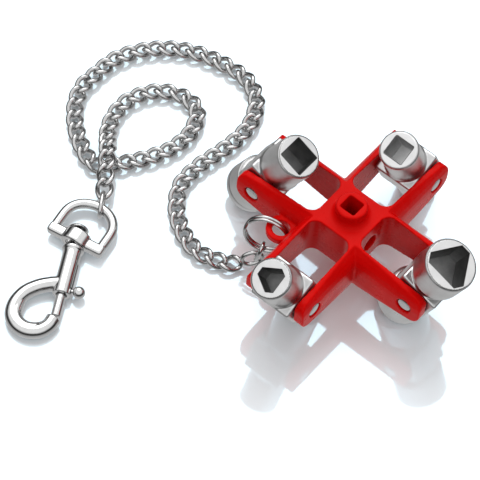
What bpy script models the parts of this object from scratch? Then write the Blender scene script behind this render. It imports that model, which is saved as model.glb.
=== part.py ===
"""Universal radiator bleed key: a cross of four clevis arms, each with a double-ended key head that
turns on a rivet, and a curb chain with a swivel bolt snap on the corner lug.

Frame: metres, +Z up, the four arms along +X, +Y, -X and -Y.  The hub axis is the Z axis, and z = 0 is
the surface that the lower ends of the four heads stand on.
"""
import math

import bmesh
import bpy
from mathutils import Matrix, Vector

MM = 0.001
GAP = 0.3 * MM                     # clearance kept where two pieces meet

# ---- key body -------------------------------------------------------------------------------------
PIN_Z = 19.3 * MM                  # height of the four head pivots above the surface
PIN_OUT = 27.9 * MM                # hub axis to each pivot
HUB_HALF = 7.9 * MM                # hub axis to the inner end of each slot
SLOT_WIDTH = 14.0 * MM
EAR_THICK = 3.4 * MM              # at its thickest, round the rivet
SLOT_FILLET = 3.0 * MM
SIDE_MARGIN = 2.0 * MM             # what the cutting shapes reach beyond the arms
CUT_MARGIN = 1.0 * MM              # and beyond a hole's mouth
ARM_SIDE = (                       # an arm's outer side: half width and height from the pivots, mm
    (9.6, -9.0), (10.2, -7.0), (10.4, -5.0), (10.4, 0.6), (10.25, 2.4), (9.7, 4.0), (8.9, 5.3), (8.0, 6.4),
    (7.4, 7.2), (7.2, 8.0),
)
HUB_TOP = 7.0 * MM                 # above the pivots
HUB_BOTTOM = -8.0 * MM             # below the pivots
TAPER_START = 9.6 * MM             # where an ear starts to get lower, from the hub axis
EAR_END = 33.4 * MM                # hub axis to the end of each ear
EAR_TOP = 5.2 * MM                 # ear's top at its end, above the pivots
EAR_BOTTOM = -4.9 * MM
EAR_TOP_CORNER = 2.8 * MM          # radii of the ear's two rounded corners, seen from the side
EAR_BOTTOM_CORNER = 3.8 * MM
BOSS_RADIUS = 4.6 * MM
BOSS_HEIGHT = 4.3 * MM
BOSS_FILLET = 1.6 * MM
BOSS_CHAMFER = 0.35 * MM
CENTRE_SQUARE = 5.0 * MM           # the radiator valve's square
CENTRE_DEPTH = 13.0 * MM
SIDE_HOLE_RADIUS = 2.7 * MM
SIDE_HOLE_DEPTH = 4.4 * MM
LUG_OUT = 13.8 * MM                # lug eye's centre, along both -X and -Y
LUG_RADIUS = 4.4 * MM
LUG_HOLE = 2.6 * MM
LUG_THICK = 2.2 * MM
LUG_NECK = 5.4 * MM                # width of the web that ties the eye to the corner

# ---- rivets ---------------------------------------------------------------------------------------
RIVET_SHANK = 1.7 * MM
RIVET_HEAD = 2.15 * MM
RIVET_HEAD_THICK = 0.9 * MM
RIVET_SINK = 0.15 * MM             # rivet face below the ear's outer face
COUNTERBORE_DEPTH = RIVET_SINK + RIVET_HEAD_THICK + GAP

# ---- key heads ------------------------------------------------------------------------------------
HEAD_UPPER = 18.2 * MM             # pivot to the upper face
BLOCK_WIDTH = SLOT_WIDTH - 0.7 * MM
BLOCK_DEPTH = 13.0 * MM
BLOCK_HALF = 5.4 * MM
WIDE_START = 8.4 * MM              # pivot to the start of a barrel that is wider than the slot
NECK_RADIUS = 6.3 * MM             # and the neck that carries it
BARREL_CHAMFER = 0.55 * MM
BARREL_FILLET = 0.9 * MM
SOCKET_DEPTH = 9.5 * MM

# Each head: name, arm's direction and outward lean in degrees, radii of its upper and lower barrel in
# mm, and its upper and lower socket.  A socket is its number of flats, the distances in mm from its
# axis to a flat and to a cut-off corner, and the angle of one flat from the pivot line.
HEADS = (
    ("head_nw", 180, -26.4, 6.5, 7.7, (4, 4.0, 5.5, 0), (3, 4.1, 5.9, 0)),
    ("head_ne", 90, -24.2, 5.8, 6.0, (4, 3.0, 4.1, 0), (3, 3.3, 4.7, 180)),
    ("head_sw", 270, 27.4, 5.9, 6.2, (3, 2.9, 3.85, 0), (4, 3.5, 4.8, 0)),
    ("head_se", 0, 21.4, 7.7, 7.6, (3, 4.6, 6.6, 180), (4, 4.5, 6.2, 0)),
)

# ---- split ring -----------------------------------------------------------------------------------
RING_CENTRE = Vector((-17.33, -15.75, 15.38)) * MM
RING_AXIS = Vector((0.376, -0.907, 0.188)).normalized()
RING_RADIUS = 6.3 * MM
RING_WIRE = 0.5 * MM               # wire radius
RING_STEP = 0.6 * MM               # half the distance between its two turns

# ---- chain ----------------------------------------------------------------------------------------
LINK_WIRE = 0.6 * MM               # wire radius
LINK_INNER = 4.7 * MM              # inner length
LINK_WIDTH = 5.4 * MM              # outer width
CHAIN_TUBE = 2.2 * MM              # radius of the plain tube that stands for the laid chain
CHAIN_POINTS = 64
LAID = 2.3                         # mm, the chain's height where it lies on the surface

# The chain's line in mm, from its second link beside the split ring to its last link.
CHAIN_ROUTE = (
    (-21.9, -22.1, 2.75), (-23.95, -23.98, LAID), (-27.25, -25.35, LAID), (-33.4, -26.8, LAID),
    (-39.7, -25.1, LAID),
    (-45.1, -21.9, LAID), (-49.4, -17.4, LAID), (-52.3, -11.6, LAID), (-52.4, -3.2, LAID),
    (-51.0, 4.4, LAID), (-50.2, 12.8, LAID), (-51.6, 20.4, LAID), (-55.9, 26.8, LAID),
    (-62.9, 30.1, LAID), (-70.9, 29.8, LAID), (-78.9, 27.9, LAID), (-86.7, 23.7, LAID),
    (-93.1, 17.2, LAID), (-97.2, 9.0, LAID), (-98.5, 0.8, LAID), (-97.3, -7.0, LAID),
    (-93.3, -13.9, LAID), (-86.8, -19.7, LAID), (-79.0, -23.7, LAID), (-74.4, -23.4, LAID),
    (-70.2, -18.4, LAID), (-66.0, -12.2, LAID), (-62.6, -4.4, LAID), (-62.2, 3.8, LAID),
    (-66.0, 11.0, LAID), (-72.9, 12.1, LAID), (-79.6, 8.4, LAID), (-83.7, 1.2, LAID),
    (-83.6, -6.6, LAID), (-80.4, -13.2, 3.0), (-77.0, -17.2, 5.3), (-74.3, -20.2, 7.0),
    (-72.1, -23.0, 7.0), (-70.4, -25.2, 5.9),
)
FIRST_LINK = Vector((-17.74, -17.46, 7.75)) * MM
FIRST_LINK_ALONG = Vector((-0.152, -0.233, -0.96)).normalized()
FIRST_LINK_FACE = Vector((0.924, 0.383, 0.0)).normalized()
SECOND_LINK_ALONG = Vector((-0.644, -0.678, -0.356)).normalized()
EYE_LINK = Vector((-64.45, -33.8, 3.1)) * MM
EYE_LINK_ALONG = Vector((-0.545, 0.839, 0.0)).normalized()
EYE_LINK_INNER = 6.2 * MM
EYE_LINK_WIDTH = 6.1 * MM
LAST_LINK_ALONG = Vector((-0.52, 0.79, 0.33)).normalized()

# ---- snap hook ------------------------------------------------------------------------------------
SNAP_PIVOT = Vector((-61.9, -47.8, 3.4)) * MM
SNAP_HEADING = -60.7               # degrees, the shaft's direction away from the eye
SNAP_PITCH = 2.0                   # degrees, nose down onto the surface
EYE_HEADING = 101.1                # degrees, the eye's direction away from the hook
EYE_WIRE = 1.5 * MM
EYE_HALF_WIDTH = 7.75 * MM         # to the middle of the wire
EYE_APEX = 13.0 * MM               # pivot to the middle of the wire
EYE_SIDE = 5.4 * MM                # straight part of each side
EYE_DROP = -0.3 * MM               # the wire's plane from the pivot
EYE_BAR_WIDTH = 3.5 * MM
EYE_BAR_HEIGHT = 3.3 * MM
EYE_BOSS_RADIUS = 3.3 * MM
EYE_BOSS_HOLE = 2.35 * MM
POST_RADIUS = 1.4 * MM
POST_HEAD = 3.1 * MM
POST_HEAD_START = -2.95 * MM
POST_HEAD_END = -4.5 * MM
COLLAR_START = 3.1 * MM
COLLAR_END = 4.2 * MM
COLLAR_RADIUS = 3.2 * MM
SHAFT_RADIUS = 2.7 * MM
SHAFT_END = 19.0 * MM
BORE_RADIUS = 1.7 * MM
BORE_BOTTOM = 5.2 * MM
SLOT_HALF = 0.9 * MM               # half width of the knob's slot
SLOT_START = 8.6 * MM
SLOT_END = 18.1 * MM
HOOK_WIRE = 2.2 * MM
HOOK_LINE = (                      # mm, along the shaft and to its left, from root to tip
    (14.2, 0.0), (15.4, -1.6), (16.2, -3.9), (17.7, -7.1), (20.4, -10.3), (24.2, -12.2),
    (28.1, -12.2), (31.0, -10.2), (32.3, -7.1), (31.7, -3.7), (29.6, -1.4), (26.9, -0.35),
)
BOLT_RADIUS = 1.4 * MM
BOLT_START = 15.4 * MM
BOLT_END = 26.2 * MM
KNOB_ALONG = 17.2 * MM
KNOB_OUT = 4.8 * MM
KNOB_RADIUS = 1.85 * MM
STEM_RADIUS = 0.6 * MM
STEM_HOLE = 0.9 * MM
STEM_FOOT = 0.35 * MM              # stem's inner end from the shaft's axis
SPRING_RADIUS = 1.1 * MM
SPRING_WIRE = 0.15 * MM
SPRING_TURNS = 6

PARTS = "radiator_bleed_key"


# ---- scene, materials and small tools -------------------------------------------------------------
def clear_scene():
    for thing in list(bpy.data.objects):
        bpy.data.objects.remove(thing, do_unlink=True)


def new_collection(name):
    group = bpy.data.collections.new(name)
    bpy.context.scene.collection.children.link(group)
    return group


def new_material(name, colour, roughness, metallic):
    material = bpy.data.materials.new(name)
    material.use_nodes = True
    shader = material.node_tree.nodes["Principled BSDF"]
    shader.inputs["Base Color"].default_value = (*colour, 1.0)
    shader.inputs["Roughness"].default_value = roughness
    shader.inputs["Metallic"].default_value = metallic
    return material


def add_object(name, mesh, group, matrix=None):
    thing = bpy.data.objects.new(name, mesh)
    group.objects.link(thing)
    if matrix is not None:
        thing.matrix_world = matrix
    return thing


def as_cutter(thing):
    thing.hide_render = True
    thing.display_type = "WIRE"
    return thing


def frame_at(origin, x_axis, z_hint):
    """A matrix at origin with its X along x_axis and its Z as near as possible to z_hint."""
    x = Vector(x_axis).normalized()
    y = Vector(z_hint).cross(x).normalized()
    z = x.cross(y)
    return Matrix.Translation(origin) @ Matrix((x, y, z)).transposed().to_4x4()


def cylinder(name, radius, length, group, matrix, sides=32, top_radius=None):
    """A cylinder or cone along its own Z, centred on its origin."""
    mesh = bpy.data.meshes.new(name)
    work = bmesh.new()
    top = radius if top_radius is None else top_radius
    bmesh.ops.create_cone(work, cap_ends=True, segments=sides, radius1=radius, radius2=top, depth=length)
    work.to_mesh(mesh)
    work.free()
    return add_object(name, mesh, group, matrix)


def box(name, size, group, matrix):
    mesh = bpy.data.meshes.new(name)
    work = bmesh.new()
    bmesh.ops.create_cube(work, size=1.0)
    bmesh.ops.scale(work, vec=size, verts=work.verts)
    work.to_mesh(mesh)
    work.free()
    return add_object(name, mesh, group, matrix)


def turned(name, profile, group, matrix, steps=40):
    """A closed turned shape about its own Z from (radius, height) points, top to bottom."""
    mesh = bpy.data.meshes.new(name)
    mesh.from_pydata([(r, 0.0, z) for r, z in profile],
                     [(i, i + 1) for i in range(len(profile) - 1)], [])
    thing = add_object(name, mesh, group, matrix)
    screw = thing.modifiers.new("turn", "SCREW")
    screw.axis = "Z"
    screw.steps = steps
    screw.render_steps = steps
    screw.use_merge_vertices = True
    screw.merge_threshold = 0.00001
    return thing


def curve_to_mesh(curve_object, group):
    """Replaces a curve object with the welded mesh of the same shape."""
    bpy.context.view_layer.update()
    graph = bpy.context.evaluated_depsgraph_get()
    mesh = bpy.data.meshes.new_from_object(curve_object.evaluated_get(graph))
    work = bmesh.new()
    work.from_mesh(mesh)
    bmesh.ops.remove_doubles(work, verts=work.verts, dist=0.000005)
    bmesh.ops.recalc_face_normals(work, faces=work.faces)
    work.to_mesh(mesh)
    work.free()
    name = curve_object.name
    matrix = curve_object.matrix_world.copy()
    bpy.data.objects.remove(curve_object, do_unlink=True)
    return add_object(name, mesh, group, matrix)


def plate(name, outline, thickness, group, matrix):
    """A flat plate in its own XY plane from a closed outline, centred on that plane."""
    curve = bpy.data.curves.new(name, "CURVE")
    curve.dimensions = "2D"
    curve.fill_mode = "BOTH"
    curve.extrude = thickness / 2
    spline = curve.splines.new("POLY")
    spline.points.add(len(outline) - 1)
    for point, (x, y) in zip(spline.points, outline):
        point.co = (x, y, 0.0, 1.0)
    spline.use_cyclic_u = True
    return curve_to_mesh(add_object(name, curve, group, matrix), group)


def wire(name, points, radius, group, matrix=None, cyclic=False):
    """A round wire along points, with flat caps where it is open."""
    curve = bpy.data.curves.new(name, "CURVE")
    curve.dimensions = "3D"
    curve.bevel_depth = radius
    curve.bevel_resolution = 2
    curve.use_fill_caps = not cyclic
    spline = curve.splines.new("POLY")
    spline.points.add(len(points) - 1)
    for point, place in zip(spline.points, points):
        point.co = (*place, 1.0)
    spline.use_cyclic_u = cyclic
    return curve_to_mesh(add_object(name, curve, group, matrix), group)


def boolean(thing, other, operation):
    step = thing.modifiers.new(operation.lower(), "BOOLEAN")
    step.operation = operation
    step.solver = "EXACT"
    step.object = other


def finish(thing, material, angle=35):
    mesh = thing.data
    mesh.materials.clear()
    mesh.materials.append(material)
    mesh.shade_smooth()
    mesh.set_sharp_from_angle(angle=math.radians(angle))


def arc(centre, radius, start, end, steps):
    """Points on an arc, angles in degrees."""
    points = []
    for i in range(steps + 1):
        angle = math.radians(start + (end - start) * i / steps)
        points.append((centre[0] + radius * math.cos(angle), centre[1] + radius * math.sin(angle)))
    return points


def smooth_line(points, count):
    """Evenly spaced points on a smooth curve through the given points."""
    ends = [2 * points[0] - points[1], *points, 2 * points[-1] - points[-2]]
    fine = []
    for i in range(1, len(ends) - 2):
        p0, p1, p2, p3 = ends[i - 1:i + 3]
        for k in range(24):
            t = k / 24
            fine.append(0.5 * (2 * p1 + (p2 - p0) * t + (2 * p0 - 5 * p1 + 4 * p2 - p3) * t ** 2
                               + (3 * p1 - p0 - 3 * p2 + p3) * t ** 3))
    fine.append(points[-1].copy())
    lengths = [0.0]
    for a, b in zip(fine, fine[1:]):
        lengths.append(lengths[-1] + (b - a).length)
    result = []
    at = 0
    for k in range(count):
        target = lengths[-1] * k / (count - 1)
        while at < len(fine) - 2 and lengths[at + 1] < target:
            at += 1
        share = (target - lengths[at]) / (lengths[at + 1] - lengths[at])
        result.append(fine[at].lerp(fine[at + 1], share))
    return result


# ---- key body -------------------------------------------------------------------------------------
def cross_outline():
    """The cross seen from above: four forked arms, each with a slot that has rounded inner corners."""
    inner = SLOT_WIDTH / 2
    outer = inner + EAR_THICK + SIDE_MARGIN
    end = EAR_END + SIDE_MARGIN
    quarter = [(outer, -outer), (end, -outer), (end, -inner)]
    quarter += arc((HUB_HALF + SLOT_FILLET, -inner + SLOT_FILLET), SLOT_FILLET, 270, 180, 8)
    quarter += arc((HUB_HALF + SLOT_FILLET, inner - SLOT_FILLET), SLOT_FILLET, 180, 90, 8)
    quarter += [(end, inner), (end, outer)]
    outline = []
    for turn in range(4):
        spin = Matrix.Rotation(math.radians(90 * turn), 2)
        outline += [tuple(spin @ Vector(point)) for point in quarter]
    return outline


def arm_side_outline():
    """A pair of opposite arms seen from the side, along the arms and up from the pivots."""
    low = (EAR_END - EAR_BOTTOM_CORNER, EAR_BOTTOM + EAR_BOTTOM_CORNER)
    high = (EAR_END - EAR_TOP_CORNER, EAR_TOP - EAR_TOP_CORNER)
    right = [(TAPER_START, HUB_BOTTOM)] + arc(low, EAR_BOTTOM_CORNER, -81, 0, 7)
    right += arc(high, EAR_TOP_CORNER, 0, 85, 7) + [(TAPER_START, HUB_TOP)]
    left = [(-x, y) for x, y in reversed(right)]
    return right + left


def arm_section():
    """One arm cut across: its outer sides are rounded, so that the ears get thin towards the top."""
    right = [(across * MM, up * MM) for across, up in ARM_SIDE]
    return right + [(-across, up) for across, up in reversed(right)]


def boss_profile():
    top = HUB_TOP + BOSS_HEIGHT
    profile = [(0.0, top), (BOSS_RADIUS - BOSS_CHAMFER, top), (BOSS_RADIUS, top - BOSS_CHAMFER)]
    foot = arc((BOSS_RADIUS + BOSS_FILLET, HUB_TOP + BOSS_FILLET), BOSS_FILLET, 180, 265, 5)
    return profile + foot + [(BOSS_RADIUS + BOSS_FILLET, HUB_TOP - 1.0 * MM), (0.0, HUB_TOP - 1.0 * MM)]


def make_body(parts, cutters, paint):
    at_pins = Matrix.Translation((0, 0, PIN_Z))
    upright = Matrix.Rotation(math.radians(90), 4, "X")
    turn = Matrix.Rotation(math.radians(90), 4, "Z")
    across = frame_at(Vector(), Vector((0, 1, 0)), Vector((1, 0, 0)))
    width = SLOT_WIDTH + 2 * (EAR_THICK + SIDE_MARGIN)
    length = 2 * (EAR_END + SIDE_MARGIN)
    height = 2 * (HUB_TOP - HUB_BOTTOM)
    body = plate("key_body", cross_outline(), height, parts, at_pins)
    arms = []
    for name, place in (("arms_x", at_pins), ("arms_y", at_pins @ turn)):
        pair = plate(name, arm_side_outline(), width, cutters, place @ upright)
        section = plate(name + "_section", arm_section(), length, cutters, place @ across)
        boolean(pair, as_cutter(section), "INTERSECT")
        arms.append(pair)
    boolean(arms[0], as_cutter(arms[1]), "UNION")
    boolean(body, as_cutter(arms[0]), "INTERSECT")

    boss = turned("boss", boss_profile(), cutters, at_pins)
    boolean(body, as_cutter(boss), "UNION")
    diagonal = math.radians(225)
    reach = LUG_OUT * math.sqrt(2)
    root = (HUB_HALF + 1.0 * MM) * math.sqrt(2)
    lug_place = at_pins @ Matrix.Rotation(diagonal, 4, "Z")
    eye = cylinder("lug_eye", LUG_RADIUS, LUG_THICK, cutters, lug_place @ Matrix.Translation((reach, 0, 0)))
    web_place = lug_place @ Matrix.Translation(((reach + root) / 2, 0, 0))
    web = box("lug_web", (reach - root, LUG_NECK, LUG_THICK * 0.98), cutters, web_place)
    boolean(eye, as_cutter(web), "UNION")
    boolean(body, as_cutter(eye), "UNION")
    lug_hole = cylinder("lug_hole", LUG_HOLE, LUG_THICK + 2 * CUT_MARGIN, cutters,
                        lug_place @ Matrix.Translation((reach, 0, 0)))
    boolean(body, as_cutter(lug_hole), "DIFFERENCE")

    top = HUB_TOP + BOSS_HEIGHT
    socket_place = at_pins @ Matrix.Translation((0, 0, top - CENTRE_DEPTH / 2 + CUT_MARGIN))
    socket = box("centre_square", (CENTRE_SQUARE, CENTRE_SQUARE, CENTRE_DEPTH + 2 * CUT_MARGIN), cutters,
                 socket_place)
    boolean(body, as_cutter(socket), "DIFFERENCE")
    hole_middle = HUB_HALF - SIDE_HOLE_DEPTH / 2 + CUT_MARGIN
    hole_place = (at_pins @ Matrix.Translation((hole_middle, 0, (HUB_TOP + HUB_BOTTOM) / 2))
                  @ Matrix.Rotation(math.radians(90), 4, "Y"))
    side_hole = cylinder("side_hole", SIDE_HOLE_RADIUS, SIDE_HOLE_DEPTH + 2 * CUT_MARGIN, cutters, hole_place)
    boolean(body, as_cutter(side_hole), "DIFFERENCE")

    outer = SLOT_WIDTH / 2 + EAR_THICK
    for name, direction, *_ in HEADS:
        across = (at_pins @ Matrix.Rotation(math.radians(direction), 4, "Z")
                  @ Matrix.Translation((PIN_OUT, 0, 0)) @ Matrix.Rotation(math.radians(90), 4, "X"))
        bore = cylinder(name + "_pin_bore", RIVET_SHANK + GAP, 2 * (outer + CUT_MARGIN), cutters, across, 24)
        boolean(body, as_cutter(bore), "DIFFERENCE")
        for side in (-1, 1):
            depth = COUNTERBORE_DEPTH + 2 * CUT_MARGIN
            middle = side * (outer - COUNTERBORE_DEPTH + depth / 2)
            place = across @ Matrix.Translation((0, 0, middle))
            sink = cylinder(f"{name}_sink_{side}", RIVET_HEAD + GAP, depth, cutters, place, 24)
            boolean(body, as_cutter(sink), "DIFFERENCE")
    finish(body, paint)


# ---- rivets and key heads -------------------------------------------------------------------------
def make_rivet(name, direction, parts, steel):
    """A rivet across both ears, a head sunk in each outer face."""
    half = SLOT_WIDTH / 2 + EAR_THICK - RIVET_SINK
    neck = half - RIVET_HEAD_THICK
    edge = 0.25 * MM
    profile = [(0.0, half), (RIVET_HEAD - edge, half), (RIVET_HEAD, half - edge), (RIVET_HEAD, neck),
               (RIVET_SHANK, neck), (RIVET_SHANK, -neck), (RIVET_HEAD, -neck), (RIVET_HEAD, -half + edge),
               (RIVET_HEAD - edge, -half), (0.0, -half)]
    place = (Matrix.Translation((0, 0, PIN_Z)) @ Matrix.Rotation(math.radians(direction), 4, "Z")
             @ Matrix.Translation((PIN_OUT, 0, 0)) @ Matrix.Rotation(math.radians(90), 4, "X"))
    finish(turned(name, profile, parts, place, 28), steel)


def lower_length(lean, radius):
    """Pivot to the lower face, so that the barrel's lowest edge touches the surface."""
    angle = math.radians(abs(lean))
    return (PIN_Z - (radius - BARREL_CHAMFER) * math.sin(angle)) / math.cos(angle)


def barrel_profile(radius, length):
    """One barrel from its face down into the block, along +Z of the head."""
    foot = BLOCK_HALF
    profile = [(0.0, length), (radius - BARREL_CHAMFER, length), (radius, length - BARREL_CHAMFER)]
    if radius > SLOT_WIDTH / 2:
        profile += [(radius, WIDE_START + BARREL_CHAMFER), (radius - BARREL_CHAMFER, WIDE_START),
                    (NECK_RADIUS, WIDE_START), (NECK_RADIUS, foot - 1 * MM), (0.0, foot - 1 * MM)]
    elif radius + BARREL_FILLET < BLOCK_DEPTH / 2:
        profile += arc((radius + BARREL_FILLET, foot + BARREL_FILLET), BARREL_FILLET, 180, 262, 4)
        profile += [(radius + BARREL_FILLET, foot - 1 * MM), (0.0, foot - 1 * MM)]
    else:
        profile += [(radius, foot - 1 * MM), (0.0, foot - 1 * MM)]
    return profile


def socket_outline(flats, inner, corner, turn):
    """A regular socket with cut-off corners, as the crossing points of its sides."""
    sides = []
    for i in range(flats):
        flat = math.radians(turn + 360 * i / flats)
        sides.append((flat, inner * MM))
        sides.append((flat + math.pi / flats, corner * MM))
    outline = []
    for (a, da), (b, db) in zip(sides, sides[1:] + sides[:1]):
        span = math.sin(b - a)
        outline.append(((da * math.sin(b) - db * math.sin(a)) / span,
                        (db * math.cos(a) - da * math.cos(b)) / span))
    return outline


def make_head(spec, parts, cutters, zinc):
    """A double-ended head: a block on the rivet and a socket barrel at each end."""
    name, direction, lean, upper_radius, lower_radius, upper_socket, lower_socket = spec
    lower = lower_length(lean, lower_radius * MM)
    # the head's own frame: Z towards the upper face, Y along the pivot
    place = (Matrix.Translation((0, 0, PIN_Z)) @ Matrix.Rotation(math.radians(direction), 4, "Z")
             @ Matrix.Translation((PIN_OUT, 0, 0)) @ Matrix.Rotation(math.radians(lean), 4, "Y"))
    flip = Matrix.Rotation(math.pi, 4, "X")
    head = box(name, (BLOCK_DEPTH, BLOCK_WIDTH, 2 * BLOCK_HALF), parts, place)
    edge = head.modifiers.new("edges", "BEVEL")
    edge.width = 0.6 * MM
    edge.segments = 2
    for end, radius, length, socket, turn in (
            ("upper", upper_radius * MM, HEAD_UPPER, upper_socket, Matrix.Identity(4)),
            ("lower", lower_radius * MM, lower, lower_socket, flip)):
        barrel = turned(f"{name}_{end}", barrel_profile(radius, length), cutters, place @ turn)
        boolean(head, as_cutter(barrel), "UNION")
        middle = Matrix.Translation((0, 0, length - SOCKET_DEPTH / 2 + 1 * MM))
        quarter = Matrix.Rotation(math.radians(90), 4, "Z")
        cut = plate(f"{name}_{end}_socket", socket_outline(*socket), SOCKET_DEPTH + 2 * MM, cutters,
                    place @ turn @ middle @ quarter)
        boolean(head, as_cutter(cut), "DIFFERENCE")
    bore_place = place @ Matrix.Rotation(math.radians(90), 4, "X")
    bore = cylinder(name + "_bore", RIVET_SHANK + GAP, 2 * SLOT_WIDTH, cutters, bore_place, 24)
    boolean(head, as_cutter(bore), "DIFFERENCE")
    finish(head, zinc)


# ---- split ring and chain -------------------------------------------------------------------------
def make_split_ring(parts, steel):
    """Two turns of wire side by side, with one quick crossing between them."""
    start, stop, cross = 12.0, 690.0, 32.0
    count = 58
    points = []
    for i in range(count):
        angle = start + (stop - start) * i / (count - 1)
        share = min(max((angle - (360 - cross)) / cross, 0.0), 1.0)
        along = RING_STEP * (2 * share * share * (3 - 2 * share) - 1)
        turn = math.radians(angle)
        points.append((RING_RADIUS * math.cos(turn), RING_RADIUS * math.sin(turn), along))
    place = frame_at(RING_CENTRE, RING_AXIS.cross(Vector((0, 0, 1))), RING_AXIS)
    finish(wire("split_ring", points, RING_WIRE, parts, place), steel)


def make_link(name, centre, along, face, inner, width, parts, steel):
    """An oval link: its length runs along, and face is square to its flat side."""
    half_width = width / 2 - LINK_WIRE
    half_straight = inner / 2 + LINK_WIRE - half_width
    points = arc((half_straight, 0), half_width, -90, 90, 7) + arc((-half_straight, 0), half_width, 90, 270, 7)
    place = frame_at(centre, along, face)
    finish(wire(name, [(x, y, 0.0) for x, y in points], LINK_WIRE, parts, place, cyclic=True), steel)


def next_link(centre, along, inner, next_along):
    """The centre of a link that hangs on the far end of this one."""
    wire_middle = centre + along * (inner / 2 + LINK_WIRE)
    return wire_middle + next_along * (LINK_INNER / 2 - LINK_WIRE - GAP)


def make_chain(parts, steel):
    route = smooth_line([Vector(point) * MM for point in CHAIN_ROUTE], CHAIN_POINTS)
    finish(wire("chain", route, CHAIN_TUBE, parts), steel)

    make_link("chain_link_first", FIRST_LINK, FIRST_LINK_ALONG, FIRST_LINK_FACE, LINK_INNER, LINK_WIDTH,
              parts, steel)
    second = next_link(FIRST_LINK, FIRST_LINK_ALONG, LINK_INNER, SECOND_LINK_ALONG)
    make_link("chain_link_second", second, SECOND_LINK_ALONG, FIRST_LINK_FACE.cross(FIRST_LINK_ALONG),
              LINK_INNER, LINK_WIDTH, parts, steel)

    side = EYE_LINK_ALONG.cross(Vector((0, 0, 1)))
    make_link("chain_link_eye", EYE_LINK, EYE_LINK_ALONG, side, EYE_LINK_INNER, EYE_LINK_WIDTH, parts, steel)
    last = next_link(EYE_LINK, EYE_LINK_ALONG, EYE_LINK_INNER, LAST_LINK_ALONG)
    make_link("chain_link_last", last, LAST_LINK_ALONG, Vector((0, 0, 1)), LINK_INNER, LINK_WIDTH, parts, steel)


# ---- snap hook ------------------------------------------------------------------------------------
def snap_frame():
    """X along the shaft away from the eye, Y to its left, on the swivel's middle."""
    return (Matrix.Translation(SNAP_PIVOT) @ Matrix.Rotation(math.radians(SNAP_HEADING), 4, "Z")
            @ Matrix.Rotation(math.radians(SNAP_PITCH), 4, "Y"))


def make_snap_eye(parts, cutters, chrome):
    """The D-shaped eye: a bent wire on a bar with a drilled boss."""
    place = Matrix.Translation(SNAP_PIVOT) @ Matrix.Rotation(math.radians(EYE_HEADING), 4, "Z")
    shoulder = EYE_SIDE
    rise = EYE_APEX - shoulder
    points = [Vector((0.0, -EYE_HALF_WIDTH, EYE_DROP)), Vector((shoulder / 2, -EYE_HALF_WIDTH, EYE_DROP))]
    for i in range(17):
        angle = math.radians(-90 + 180 * i / 16)
        x = shoulder + rise * abs(math.cos(angle)) ** 0.85
        points.append(Vector((x, EYE_HALF_WIDTH * math.sin(angle), EYE_DROP)))
    points += [Vector((shoulder / 2, EYE_HALF_WIDTH, EYE_DROP)), Vector((0.0, EYE_HALF_WIDTH, EYE_DROP))]
    eye = wire("snap_eye", points, EYE_WIRE, parts, place)
    bar_size = (EYE_BAR_WIDTH, 2 * (EYE_HALF_WIDTH + EYE_WIRE), EYE_BAR_HEIGHT)
    bar = box("eye_bar", bar_size, cutters, place @ Matrix.Translation((0, 0, EYE_DROP)))
    edge = bar.modifiers.new("edges", "BEVEL")
    edge.width = 0.9 * MM
    edge.segments = 2
    boolean(eye, as_cutter(bar), "UNION")
    lying = place @ Matrix.Rotation(math.radians(90), 4, "Y")
    boss = cylinder("eye_boss", EYE_BOSS_RADIUS, EYE_BAR_WIDTH * 1.06, cutters, lying)
    boolean(eye, as_cutter(boss), "UNION")
    hole = cylinder("eye_hole", EYE_BOSS_HOLE, 4 * EYE_BAR_WIDTH, cutters, lying)
    boolean(eye, as_cutter(hole), "DIFFERENCE")
    finish(eye, chrome)


def make_snap_body(parts, cutters, chrome):
    """Swivel post, collar, drilled shaft and hook in one casting."""
    place = snap_frame()
    # turned about the shaft: the profile's height runs back towards the eye
    lying = place @ Matrix.Rotation(math.radians(-90), 4, "Y")
    dome = [(0.0, -POST_HEAD_END), (POST_HEAD * 0.62, -POST_HEAD_END - 0.35 * MM),
            (POST_HEAD * 0.93, -POST_HEAD_END - 0.9 * MM), (POST_HEAD, -POST_HEAD_START + 0.15 * MM),
            (POST_HEAD * 0.9, -POST_HEAD_START)]
    stem = [(POST_RADIUS, -POST_HEAD_START), (POST_RADIUS, -COLLAR_START)]
    collar = [(COLLAR_RADIUS - 0.3 * MM, -COLLAR_START), (COLLAR_RADIUS, -COLLAR_START - 0.3 * MM),
              (COLLAR_RADIUS, -COLLAR_END), (SHAFT_RADIUS, -COLLAR_END - 1.2 * MM)]
    shaft = [(SHAFT_RADIUS, -SHAFT_END + 0.3 * MM), (SHAFT_RADIUS - 0.3 * MM, -SHAFT_END), (0.0, -SHAFT_END)]
    body = turned("snap_body", dome + stem + collar + shaft, parts, lying, 32)
    line = smooth_line([Vector((x, y, 0.0)) * MM for x, y in HOOK_LINE], 30)
    hook = wire("snap_hook", line, HOOK_WIRE, cutters, place)
    boolean(body, as_cutter(hook), "UNION")
    bore_length = SHAFT_END - BORE_BOTTOM + 0.4 * MM
    bore_place = place @ Matrix.Translation((BORE_BOTTOM + bore_length / 2, 0, 0))
    bore = cylinder("bolt_bore", BORE_RADIUS, bore_length, cutters,
                    bore_place @ Matrix.Rotation(math.radians(90), 4, "Y"), 24)
    boolean(body, as_cutter(bore), "DIFFERENCE")
    slot_place = place @ Matrix.Translation(((SLOT_START + SLOT_END) / 2, 2 * MM, 0))
    slot = box("knob_slot", (SLOT_END - SLOT_START, 4 * MM, 2 * SLOT_HALF), cutters, slot_place)
    boolean(body, as_cutter(slot), "DIFFERENCE")
    finish(body, chrome)


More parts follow.
